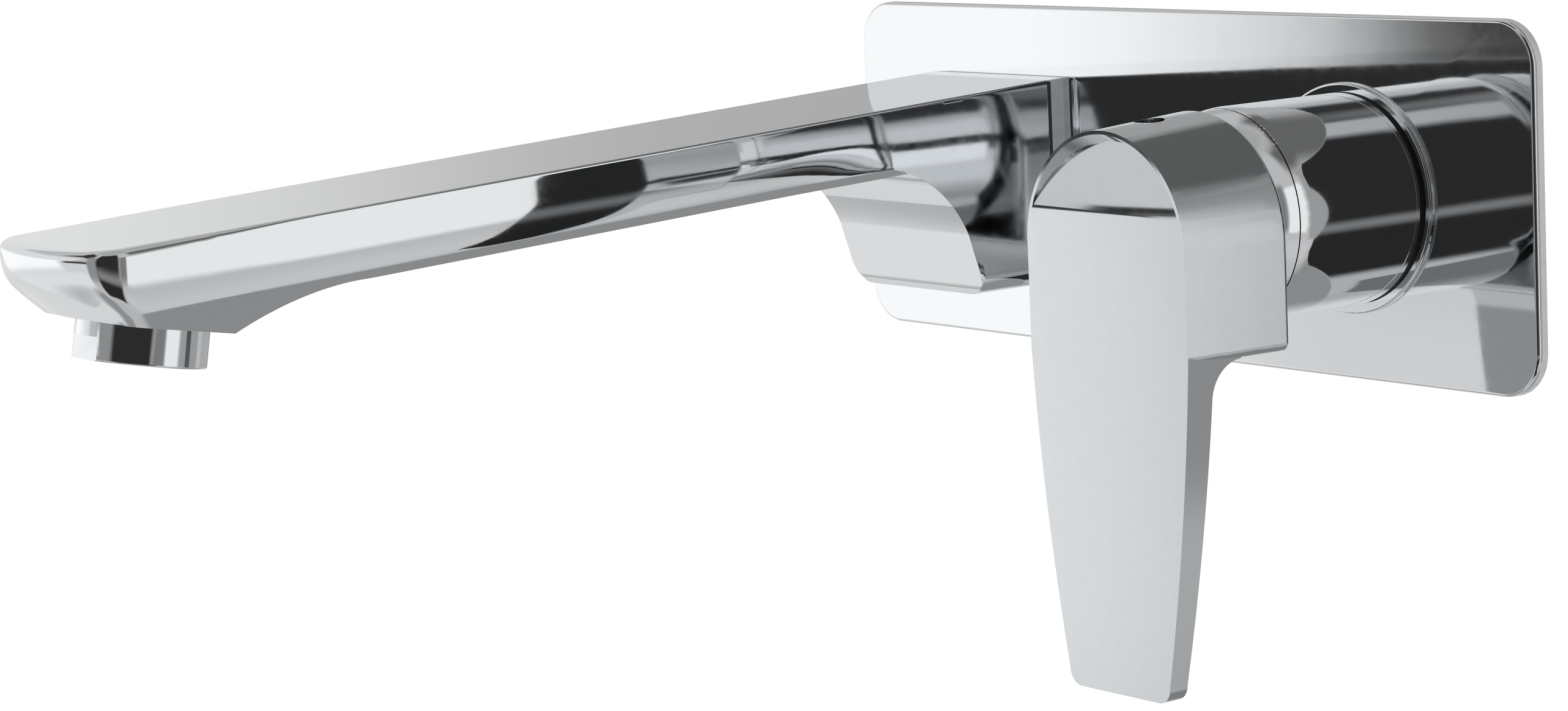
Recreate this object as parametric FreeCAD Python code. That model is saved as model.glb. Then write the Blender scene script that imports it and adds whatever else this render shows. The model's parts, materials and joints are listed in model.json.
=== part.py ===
import FreeCAD, Part
import math
import os

# Wall mounted bath faucet: a long flat spout and a single-lever mixer on one polished plate,
# with the concealed brass body behind the wall. Millimetres, +Z up, +X to the right for
# somebody facing the wall. The wall's finished face is the plane y = 0 and the room is at -Y.
# The origin is the centre of the plate's back face.

# ---------------------------------------------------------------- driving dimensions
# plate
plate_width = 222.0
plate_height = 80.0
plate_thickness = 3.0
plate_corner_radius = 10.0
plate_edge_radius = 0.8
gasket_thickness = 1.2
gasket_inset = 2.5

# places of the two axes on the plate
valve_x = 57.0
spout_x = -60.0

# spout
spout_width = 48.0
spout_reach = 262.0
spout_top = 23.4
spout_bottom = -25.6
spout_fall_deg = 3.0
bar_depth = 13.8
keel_depth = 2.0
keel_draft_deg = 38.0
nose_height = 7.4
nose_bow = 4.0
nose_corner_radius = 8.0
spout_edge_radius = 0.7
chin_radius = 6.0
base_depth = 26.0
base_lean_deg = 18.0
base_corner_radius = 5.0
throat_reach = 53.0
shin_rise = 0.30
throat_bend_along = 0.30
throat_bend_down = 0.46
keel_root_from_throat = 15.0
outlet_from_tip = 24.5
boss_drop = 19.7
boss_front = 15.0
boss_back = 12.5
swell_length = 30.0
swell_bend_length = 10.0
swell_bend_share = 0.42
duct_width = 26.0
duct_height = 7.0
duct_roof = 3.2
riser_width = 14.0
riser_length = 12.0
duct_past_outlet = 9.0

# aerator
aerator_radius = 13.9
aerator_length = 8.2
aerator_tilt_deg = 10.6
aerator_thread_radius = 12.0
aerator_thread_length = 5.0
aerator_wall = 1.6
aerator_lip = 1.2
aerator_edge_radius = 0.5
aerator_flat_depth = 1.0
aerator_flat_height = 5.0
washer_thickness = 1.5
washer_wall = 3.0
screen_thickness = 0.6
screen_rim = 1.2
screen_slot_width = 1.0
screen_slot_pitch = 2.0
jet_radius = 0.9
jet_circle_radius = 3.4

# spout nipple, its seals and its lock screw
nipple_radius = 13.0
nipple_bore = 7.0
nipple_into_spout = 20.0
nipple_into_body = 11.0
nipple_past_thread = 3.0
nipple_thread_radius = 10.4
nipple_ring_section = 1.1
nipple_ring_gap = 4.0
lock_screw_radius = 2.5
lock_screw_length = 8.0
lock_screw_from_wall = 9.0
lock_key_size = 2.5
key_depth = 3.0

# concealed body
body_back = 23.0
body_front = 2.2
body_head_radius = 23.0
body_wall = 2.6
neck_end = -39.5
outlet_end_radius = 17.0
channel_height = 20.0
channel_front = 3.0
channel_z = 8.0
channel_y = 10.5
channel_radius = 5.0
inlet_spacing = 28.0
inlet_radius = 11.4
inlet_bottom = -38.0
inlet_thread_radius = 9.3
inlet_thread_length = 15.0
riser_radius = 4.0

# wall bracket and its screws
bracket_length = 148.0
bracket_height = 36.0
bracket_bottom = -4.0
bracket_thickness = 2.5
bracket_corner_radius = 6.0
wall_hole_radius = 2.75
wall_hole_spacing_x = 130.0
wall_hole_spacing_z = 22.0
bracket_screw_spacing = 44.0
bracket_screw_radius = 2.5
bracket_screw_length = 8.0
bracket_head_radius = 4.2
bracket_head_height = 2.4
bracket_head_edge_radius = 0.8
bracket_key_depth = 2.0
bracket_screw_below_middle = 7.0
screw_hole_past_end = 0.5

# cartridge, from its seat outwards
pivot_y = -37.0
seat_y = -8.0
cartridge_radius = 17.5
cartridge_base_thickness = 4.0
housing_wall = 1.9
housing_lip = 1.9
fixed_disc_thickness = 4.0
moving_disc_radius = 11.0
moving_disc_thickness = 3.5
carrier_disc_thickness = 1.4
carrier_half = 6.0
port_radius = 3.2
port_ring_section = 0.8
inlet_port_x = 7.5
inlet_port_z = -4.0
outlet_port_z = 8.0
fixed_port_step = 0.4
mixing_recess_wall = 4.5
mixing_recess_depth = 1.8
turret_neck_radius = 12.4
turret_neck_end = -43.0
stem_side = 8.0
stem_end = -69.0
stem_barrel_radius = 5.0
stem_tail = 10.0
stem_tail_radius = 1.8
stem_ball_radius = 2.5
carrier_past_ball = 0.5
ball_socket_floor = 1.0
pin_radius = 1.5
pin_from_neck = 0.8
nut_length = 5.5
nut_thread_step = 1.0
nut_notches = 6
nut_notch_width = 3.2
nut_notch_length = 2.2
nut_notch_depth = 3.0
housing_end_from_pivot = 2.0
lift_deg = 25.0

# sleeve, dome and collar
sleeve_radius = 23.3
sleeve_wall = 1.5
dome_wall = 1.6
dome_end = -49.5
dome_seam_y = -40.9
seam_gap = 0.3
skirt_wall = 1.2
skirt_length = 5.0
skirt_land = 0.8
collar_radius = 25.4
collar_thickness = 1.3
collar_edge_radius = 0.5
seam_seal_thickness = 0.9
seam_seal_inset = 0.4

# handle
handle_front = -75.2
handle_back = -47.5
hub_centre_z = -2.8
hub_past_sleeve = 2.8
hub_taper = 1.8
hub_bottom = -26.0
hub_wall = 1.9
hub_edge_radius = 1.2
hub_corner_radius = 2.0
hub_front_wall = 3.6
hub_overlap = 12.0
blade_end = -98.3
blade_end_half_width = 15.6
blade_edge_bow = 0.9
blade_corner_radius = 3.5
blade_top_thickness = 7.0
blade_end_thickness = 4.9
blade_fillet = 8.0
recess_depth = 4.0
recess_start_z = 4.0
recess_rim = 0.8
recess_draft = 2.0
boss_radius = 8.0
dome_clearance = 0.5
rib_half_width = 5.0
handle_screw_y = -61.3
handle_screw_radius = 2.5
handle_screw_length = 9.0
handle_screw_well_radius = 3.25
hex_key_size = 3.0

# clearances
running = 0.05
sliding = 0.1
assembly = 0.2
cut_past = 1.0

# ---------------------------------------------------------------- values that follow
plate_front = -plate_thickness
spout_fall = math.tan(math.radians(spout_fall_deg))
spout_half = spout_width / 2
outlet_y = -(spout_reach - outlet_from_tip)
housing_inner = cartridge_radius - housing_wall
chamber_radius = cartridge_radius + assembly
neck_radius = chamber_radius + body_wall
nut_radius = chamber_radius + nut_thread_step
sleeve_inner = sleeve_radius - sleeve_wall
base_top_y = seat_y - cartridge_base_thickness
fixed_disc_top = base_top_y - fixed_disc_thickness
moving_disc_bottom = fixed_disc_top - running
moving_disc_top = moving_disc_bottom - moving_disc_thickness
carrier_disc_top = moving_disc_top - carrier_disc_thickness
turret_bottom = carrier_disc_top - sliding
housing_end = pivot_y + housing_end_from_pivot
turret_top = housing_end + housing_lip + sliding
disc_travel = stem_tail * math.sin(math.radians(lift_deg))
ball_y = pivot_y + stem_tail
hub_back_radius = sleeve_radius + hub_past_sleeve
hub_front_radius = hub_back_radius - hub_taper
dome_edge_turn = math.acos((pivot_y - dome_end) / sleeve_radius) - math.radians(lift_deg)
rib_back = pivot_y - (sleeve_radius + dome_clearance) * math.cos(dome_edge_turn)
tip_y = -spout_reach
boss_front_y = outlet_y - boss_front
boss_back_y = outlet_y + boss_back
pivot = FreeCAD.Vector(valve_x, pivot_y, 0)
X_AXIS = FreeCAD.Vector(1, 0, 0)
Y_AXIS = FreeCAD.Vector(0, 1, 0)
Z_AXIS = FreeCAD.Vector(0, 0, 1)

parts = {}


# ---------------------------------------------------------------- small helpers
def at(x, y, z):
    return FreeCAD.Vector(x, y, z)


def rod(x, z, radius, y_from, y_to):
    """A round bar along Y between two y values."""
    low = min(y_from, y_to)
    return Part.makeCylinder(radius, abs(y_to - y_from), at(x, low, z), Y_AXIS)


def tube(x, z, outer, inner, y_from, y_to):
    """A round tube along Y between two y values."""
    return rod(x, z, outer, y_from, y_to).cut(rod(x, z, inner, y_from, y_to))


def post(x, y, radius, z_from, z_to):
    """A round bar along Z between two z values."""
    return Part.makeCylinder(radius, abs(z_to - z_from), at(x, y, min(z_from, z_to)), Z_AXIS)


def bar(y, z, radius, x_from, x_to):
    """A round bar along X between two x values."""
    return Part.makeCylinder(radius, abs(x_to - x_from), at(min(x_from, x_to), y, z), X_AXIS)


def block(x_range, y_range, z_range):
    """A box between two corners."""
    size = [high - low for low, high in (x_range, y_range, z_range)]
    return Part.makeBox(*size, at(x_range[0], y_range[0], z_range[0]))


def line(start, end):
    return Part.LineSegment(start, end).toShape()


def arc(start, middle, end):
    return Part.Arc(start, middle, end).toShape()


def rounded_slab(x, z, width, height, radius, y_from, y_to):
    """A rounded rectangle in the XZ plane, as thick as the two y values say."""
    low = min(y_from, y_to)
    slab = Part.makeBox(width, abs(y_to - y_from), height, at(x - width / 2, low, z - height / 2))
    upright = [edge for edge in slab.Edges if abs(edge.tangentAt(edge.FirstParameter).y) > 0.99]
    return slab.makeFillet(radius, upright)


def edges_on_plane(shape, y):
    """The edges that lie wholly on the plane of this y."""
    flat = []
    for edge in shape.Edges:
        box = edge.BoundBox
        if abs(box.YMin - y) < 1e-4 and abs(box.YMax - y) < 1e-4:
            flat.append(edge)
    return flat


def side_profile(points, half_width, x):
    """A closed outline of (y, z) points and three-point arcs, pulled out both ways along X."""
    edges = []
    cursor = None
    first = None
    for step in points:
        if cursor is None:
            cursor = at(x - half_width, *step)
            first = cursor
            continue
        if len(step) == 2:
            target = at(x - half_width, *step)
            edges.append(line(cursor, target))
        else:
            middle = at(x - half_width, *step[0:2])
            target = at(x - half_width, *step[2:4])
            edges.append(arc(cursor, middle, target))
        cursor = target
    edges.append(line(cursor, first))
    face = Part.Face(Part.Wire(edges))
    return face.extrude(at(2 * half_width, 0, 0))


def ring(x, z, y, radius, section):
    """An O-ring around Y: radius to the middle of its section."""
    return Part.makeTorus(radius, section, at(x, y, z), Y_AXIS)


def hex_socket(centre, direction, across_flats, depth):
    """A hexagonal key socket cut from a point along a direction."""
    corner = across_flats / math.sqrt(3)
    side = X_AXIS if abs(direction.x) < 0.5 else Z_AXIS
    other = direction.cross(side)
    points = []
    for step in range(7):
        turn = math.radians(60 * step)
        points.append(centre + side * (corner * math.cos(turn)) + other * (corner * math.sin(turn)))
    return Part.Face(Part.makePolygon(points)).extrude(direction * depth)


# ---------------------------------------------------------------- plate and gasket
def make_plate():
    plate = rounded_slab(0, 0, plate_width, plate_height, plate_corner_radius, plate_front, 0)
    plate = plate.makeFillet(plate_edge_radius, edges_on_plane(plate, plate_front))
    recess = rounded_slab(0, 0, plate_width - 2 * gasket_inset, plate_height - 2 * gasket_inset,
                          plate_corner_radius - gasket_inset, -gasket_thickness, 1)
    plate = plate.cut(recess)
    valve_hole = rod(valve_x, 0, neck_radius + assembly, plate_front - 1, 1)
    spout_hole = rod(spout_x, 0, nipple_radius + assembly, plate_front - 1, 1)
    parts["backplate"] = plate.cut(valve_hole).cut(spout_hole)

    outer_width = plate_width - 2 * gasket_inset - 2 * assembly
    outer_height = plate_height - 2 * gasket_inset - 2 * assembly
    outer_corner = plate_corner_radius - gasket_inset - assembly
    pad = rounded_slab(0, 0, outer_width, outer_height, outer_corner, -gasket_thickness, 0)
    parts["plate_gasket"] = pad.cut(valve_hole).cut(spout_hole)


# ---------------------------------------------------------------- spout
def spout_top_at(y):
    """Height of the spout's top face above the origin at this y."""
    return spout_top - (plate_front - y) * spout_fall


def crease_at(y):
    """Height of the lower edge of the bar's side faces."""
    return spout_top_at(y) - bar_depth


def boss_bottom_at(y):
    """Height of the boss's lower face, square to the tilted outlet."""
    tilt = math.tan(math.radians(aerator_tilt_deg))
    return spout_top_at(outlet_y) - boss_drop - (y - outlet_y) * tilt


def spout_plan():
    """The spout seen from above: straight sides and a bowed nose with rounded corners."""
    left = spout_x - spout_half
    right = spout_x + spout_half
    corner_y = tip_y + nose_bow
    floor = spout_bottom
    outline = [line(at(left, plate_front, floor), at(left, corner_y, floor)),
               arc(at(left, corner_y, floor), at(spout_x, tip_y, floor),
                   at(right, corner_y, floor)),
               line(at(right, corner_y, floor), at(right, plate_front, floor)),
               line(at(right, plate_front, floor), at(left, plate_front, floor))]
    plan = Part.Face(Part.Wire(outline)).extrude(at(0, 0, spout_top - spout_bottom))
    corners = []
    for edge in plan.Edges:
        upright = abs(edge.tangentAt(edge.FirstParameter).z) > 0.99
        if upright and abs(edge.BoundBox.YMin - corner_y) < 1e-4:
            corners.append(edge)
    return plan.makeFillet(nose_corner_radius, corners)


def chin_limit():
    """Everything behind the nose and the chin that slopes back under it to the boss."""
    nose_z = spout_top_at(tip_y) - nose_height
    limit = side_profile([(plate_front, spout_top), (tip_y, spout_top), (tip_y, nose_z),
                          (boss_front_y, boss_bottom_at(boss_front_y)),
                          (boss_front_y, spout_bottom), (plate_front, spout_bottom)],
                         spout_half, spout_x)
    turn = []
    for edge in limit.Edges:
        box = edge.BoundBox
        if box.XLength > spout_half and abs(box.YMin - tip_y) + abs(box.ZMin - nose_z) < 1e-4:
            turn.append(edge)
    return limit.makeFillet(chin_radius, turn)


def spout_base():
    """The base that drops to the plate's foot behind the hollow throat."""
    lean = math.tan(math.radians(base_lean_deg))
    shin_top = spout_bottom + shin_rise * (spout_top - spout_bottom)
    shin_y = plate_front - base_depth - (shin_top - spout_bottom) * lean
    throat_y = plate_front - throat_reach
    throat_z = crease_at(throat_y)
    bend_y = shin_y - throat_bend_along * (shin_y - throat_y)
    bend_z = throat_z - throat_bend_down * (throat_z - shin_top)
    base = side_profile([(plate_front, spout_top), (plate_front, spout_bottom),
                         (plate_front - base_depth, spout_bottom), (shin_y, shin_top),
                         (bend_y, bend_z, throat_y, throat_z), (throat_y, spout_top_at(throat_y))],
                        spout_half, spout_x)
    lower = block((spout_x - spout_half, spout_x + spout_half), (tip_y, plate_front),
                  (spout_bottom, spout_top))
    lower_edges = []
    for edge in lower.Edges:
        along_y = abs(edge.tangentAt(edge.FirstParameter).y) > 0.99
        if along_y and abs(edge.BoundBox.ZMax - spout_bottom) < 1e-4:
            lower_edges.append(edge)
    return base.common(lower.makeFillet(base_corner_radius, lower_edges))


def spout_keel():
    """The drafted keel under the bar, which swells into the boss that holds the aerator."""
    swell_y = boss_back_y + swell_length
    swell_z = crease_at(swell_y) - keel_depth
    bend_y = boss_back_y + swell_bend_length
    boss_z = boss_bottom_at(boss_back_y)
    bend_z = swell_z + swell_bend_share * (boss_z - swell_z)
    root_y = plate_front - throat_reach + keel_root_from_throat
    keel = side_profile([(root_y, crease_at(root_y)), (tip_y, crease_at(tip_y)),
                         (tip_y, boss_bottom_at(tip_y)), (boss_back_y, boss_z),
                         (bend_y, bend_z, swell_y, swell_z),
                         (root_y, crease_at(root_y) - keel_depth)],
                        spout_half, spout_x)
    draft = math.tan(math.radians(keel_draft_deg))
    section = []
    for side, drop in ((-1, 0), (1, 0), (1, bar_depth), (-1, bar_depth)):
        half = spout_half - drop * draft
        section.append(at(spout_x + side * half, plate_front, crease_at(plate_front) - drop))
    section.append(section[0])
    along = at(0, -spout_reach, -spout_reach * spout_fall)
    return keel.common(Part.Face(Part.makePolygon(section)).extrude(along))


def spout_rim(solid):
    """The edges round the top face, except the one against the plate."""
    rim = []
    for edge in solid.Edges:
        middle = edge.valueAt((edge.FirstParameter + edge.LastParameter) / 2)
        on_top = abs(middle.z - spout_top_at(middle.y)) < 1e-4
        if on_top and middle.y < plate_front - 1e-4:
            rim.append(edge)
    return rim


def spout_waterway():
    """Seat for the nipple, a riser, a flat duct along the bar, and the tapped outlet."""
    seat_end = plate_front - nipple_into_spout - assembly
    seat = rod(spout_x, 0, nipple_radius + running, seat_end, plate_front + cut_past)
    duct_start = seat_end + riser_length
    duct_end = outlet_y - duct_past_outlet
    duct = side_profile([(duct_start, spout_top_at(duct_start) - duct_roof),
                         (duct_end, spout_top_at(duct_end) - duct_roof),
                         (duct_end, spout_top_at(duct_end) - duct_roof - duct_height),
                         (duct_start, spout_top_at(duct_start) - duct_roof - duct_height)],
                        duct_width / 2, spout_x)
    riser_top = spout_top_at(duct_start) - duct_roof - duct_height / 2
    riser = block((spout_x - riser_width / 2, spout_x + riser_width / 2),
                  (seat_end, seat_end + riser_length), (0, riser_top))
    bore = aerator_placed(Part.makeCylinder(aerator_thread_radius + running,
                                            aerator_thread_length + washer_thickness + assembly))
    throat = aerator_placed(Part.makeCylinder(aerator_thread_radius - washer_wall,
                                              boss_drop - duct_roof - duct_height / 2))
    lock_hole = post(spout_x, plate_front - lock_screw_from_wall, lock_screw_radius + running,
                     spout_bottom - cut_past, 0)
    return seat.fuse([duct, riser, bore, throat, lock_hole])


def make_spout():
    bar_end = spout_top_at(tip_y)
    solid = side_profile([(plate_front, spout_top), (tip_y, bar_end), (tip_y, bar_end - bar_depth),
                          (plate_front, crease_at(plate_front))], spout_half, spout_x)
    solid = solid.fuse([spout_base(), spout_keel()])
    solid = solid.common(spout_plan()).common(chin_limit()).removeSplitter()
    solid = solid.makeFillet(spout_edge_radius, spout_rim(solid))
    parts["spout_body"] = solid.cut(spout_waterway())

    # nipple with two seal grooves
    groove_root = nipple_radius + running - 2 * nipple_ring_section
    nipple = rod(spout_x, 0, nipple_radius, plate_front - nipple_into_spout, body_front)
    thread_end = body_front + nipple_into_body
    nipple = nipple.fuse(rod(spout_x, 0, nipple_thread_radius, body_front, thread_end))
    nipple = nipple.cut(rod(spout_x, 0, nipple_bore, -spout_reach, thread_end + cut_past))
    groove_half = nipple_ring_section + sliding
    rings = []
    first_y = plate_front - nipple_into_spout + nipple_ring_gap
    for ring_y in (first_y, first_y + nipple_ring_gap):
        groove = tube(spout_x, 0, nipple_radius + cut_past, groove_root,
                      ring_y - groove_half, ring_y + groove_half)
        nipple = nipple.cut(groove)
        rings.append(ring(spout_x, 0, ring_y, nipple_radius + running - nipple_ring_section,
                          nipple_ring_section))
    parts["spout_nipple"] = nipple
    parts["spout_o_rings"] = Part.makeCompound(rings)

    lock_y = plate_front - lock_screw_from_wall
    screw_end = -nipple_radius - lock_screw_length
    screw = post(spout_x, lock_y, lock_screw_radius, screw_end, -nipple_radius)
    key = hex_socket(at(spout_x, lock_y, screw_end), Z_AXIS, lock_key_size, key_depth)
    parts["spout_lock_screw"] = screw.cut(key)


# ---------------------------------------------------------------- aerator
def aerator_placed(shape):
    """Puts a shape made about +Z on the outlet: z = 0 on the boss's lower face, +Z inwards."""
    placed = shape.copy()
    placed.rotate(at(0, 0, 0), X_AXIS, -aerator_tilt_deg)
    placed.translate(at(spout_x, outlet_y, boss_bottom_at(outlet_y)))
    return placed


def make_aerator():
    bottom = -aerator_length
    housing = Part.makeCylinder(aerator_radius, aerator_length, at(0, 0, bottom))
    rim = [edge for edge in housing.Edges if abs(edge.BoundBox.ZMax - bottom) < 1e-4]
    housing = housing.makeFillet(aerator_edge_radius, rim)
    housing = housing.fuse(Part.makeCylinder(aerator_thread_radius, aerator_thread_length))
    bore = aerator_thread_radius - aerator_wall
    inside = Part.makeCylinder(bore, aerator_length + aerator_thread_length,
                               at(0, 0, bottom + aerator_lip))
    mouth = Part.makeCylinder(bore - aerator_lip, 2 * aerator_lip, at(0, 0, bottom - aerator_lip / 2))
    housing = housing.cut(inside).cut(mouth)
    flat_y = aerator_radius - aerator_flat_depth
    for side in (-1, 1):
        flat = block((-aerator_radius, aerator_radius), (flat_y, aerator_radius + cut_past),
                     (bottom, bottom + aerator_flat_height))
        flat.rotate(at(0, 0, 0), Z_AXIS, 90 - 90 * side)
        housing = housing.cut(flat)
    parts["aerator_housing"] = aerator_placed(housing)

    insert_radius = bore - sliding
    insert_top = aerator_thread_length - screen_thickness
    insert = Part.makeCylinder(insert_radius, insert_top - bottom - aerator_lip,
                               at(0, 0, bottom + aerator_lip))
    deep = 2 * aerator_length
    holes = [Part.makeCylinder(jet_radius, 2 * deep, at(0, 0, -deep))]
    for circle in (1, 2):
        reach = circle * jet_circle_radius
        for index in range(6 * circle):
            turn = 2 * math.pi * index / (6 * circle)
            foot = at(reach * math.cos(turn), reach * math.sin(turn), -deep)
            holes.append(Part.makeCylinder(jet_radius, 2 * deep, foot))
    parts["aerator_insert"] = aerator_placed(insert.cut(Part.makeCompound(holes)))
    screen = Part.makeCylinder(insert_radius, screen_thickness, at(0, 0, insert_top))
    slots = []
    slot_reach = insert_radius - screen_rim
    last = int((slot_reach - screen_slot_width) / screen_slot_pitch)
    for index in range(-last, last + 1):
        middle = index * screen_slot_pitch
        half = math.sqrt(slot_reach ** 2 - (abs(middle) + screen_slot_width / 2) ** 2)
        slots.append(block((middle - screen_slot_width / 2, middle + screen_slot_width / 2),
                           (-half, half), (insert_top - cut_past, insert_top + 2 * cut_past)))
    parts["aerator_screen"] = aerator_placed(screen.cut(Part.makeCompound(slots)))
    washer = Part.makeCylinder(aerator_thread_radius - sliding, washer_thickness,
                               at(0, 0, aerator_thread_length))
    washer_hole = Part.makeCylinder(aerator_thread_radius - washer_wall, 2 * aerator_thread_length,
                                    at(0, 0, aerator_thread_length - cut_past))
    parts["aerator_washer"] = aerator_placed(washer.cut(washer_hole))


# ---------------------------------------------------------------- concealed body and bracket
def make_body():
    neck = rod(valve_x, 0, neck_radius, neck_end, body_front)
    head = rod(valve_x, 0, body_head_radius, body_front, body_back)
    outlet_end = rod(spout_x, 0, outlet_end_radius, body_front, body_back)
    channel_wall = block((spout_x, valve_x), (channel_front, body_back),
                         (channel_z - channel_height / 2, channel_z + channel_height / 2))
    body = neck.fuse([head, outlet_end, channel_wall])
    inlets = [valve_x - inlet_spacing / 2, valve_x + inlet_spacing / 2]
    for inlet_x in inlets:
        body = body.fuse(post(inlet_x, body_front + inlet_radius, inlet_radius, inlet_bottom,
                              bracket_bottom - 2 * assembly))
    body = body.removeSplitter()

    water_y = body_front + inlet_radius
    chamber = rod(valve_x, 0, chamber_radius, neck_end - cut_past, seat_y)
    nut_thread = rod(valve_x, 0, nut_radius, neck_end - cut_past, housing_end)
    cuts = [chamber, nut_thread]
    for inlet_x, side in zip(inlets, (-1, 1)):
        port_x = valve_x + side * inlet_port_x
        cuts.append(post(inlet_x, water_y, inlet_thread_radius, inlet_bottom - cut_past,
                         inlet_bottom + inlet_thread_length))
        cuts.append(post(inlet_x, water_y, riser_radius, inlet_bottom, inlet_port_z))
        cuts.append(bar(water_y, inlet_port_z, port_radius, port_x, inlet_x))
        cuts.append(rod(port_x, inlet_port_z, port_radius, seat_y - cut_past, water_y))
    cuts.append(rod(valve_x, outlet_port_z, port_radius, seat_y - cut_past, channel_y))
    cuts.append(bar(channel_y, channel_z, channel_radius, spout_x, valve_x))
    cuts.append(rod(spout_x, 0, nipple_thread_radius, body_front - cut_past,
                    body_front + nipple_into_body + nipple_past_thread))
    screw_z = bracket_bottom + bracket_height / 2 - bracket_screw_below_middle
    screws = []
    screw_head_y = body_back + bracket_thickness
    for side in (-1, 1):
        screw_x = side * bracket_screw_spacing / 2
        hole_end = screw_head_y - bracket_screw_length - screw_hole_past_end
        cuts.append(rod(screw_x, screw_z, bracket_screw_radius, hole_end, body_back + cut_past))
        shank = rod(screw_x, screw_z, bracket_screw_radius, screw_head_y - bracket_screw_length,
                    screw_head_y)
        head = rod(screw_x, screw_z, bracket_head_radius, screw_head_y,
                   screw_head_y + bracket_head_height)
        head_top = screw_head_y + bracket_head_height
        head = head.makeFillet(bracket_head_edge_radius, edges_on_plane(head, head_top))
        key = hex_socket(at(screw_x, head_top, screw_z), -Y_AXIS, hex_key_size,
                         bracket_key_depth)
        screws.append(shank.fuse(head).cut(key))
    parts["valve_body"] = body.cut(cuts)
    parts["bracket_screws"] = Part.makeCompound(screws)

    middle_z = bracket_bottom + bracket_height / 2
    bracket = rounded_slab(0, middle_z, bracket_length, bracket_height, bracket_corner_radius,
                           body_back, body_back + bracket_thickness)
    hole_far = body_back + bracket_thickness + cut_past
    holes = []
    for side in (-1, 1):
        holes.append(rod(side * bracket_screw_spacing / 2, screw_z,
                         bracket_screw_radius + assembly, body_back - cut_past, hole_far))
        for level in (-1, 1):
            holes.append(rod(side * wall_hole_spacing_x / 2,
                             middle_z + level * wall_hole_spacing_z / 2,
                             wall_hole_radius, body_back - cut_past, hole_far))
    parts["wall_bracket"] = bracket.cut(holes)


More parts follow.
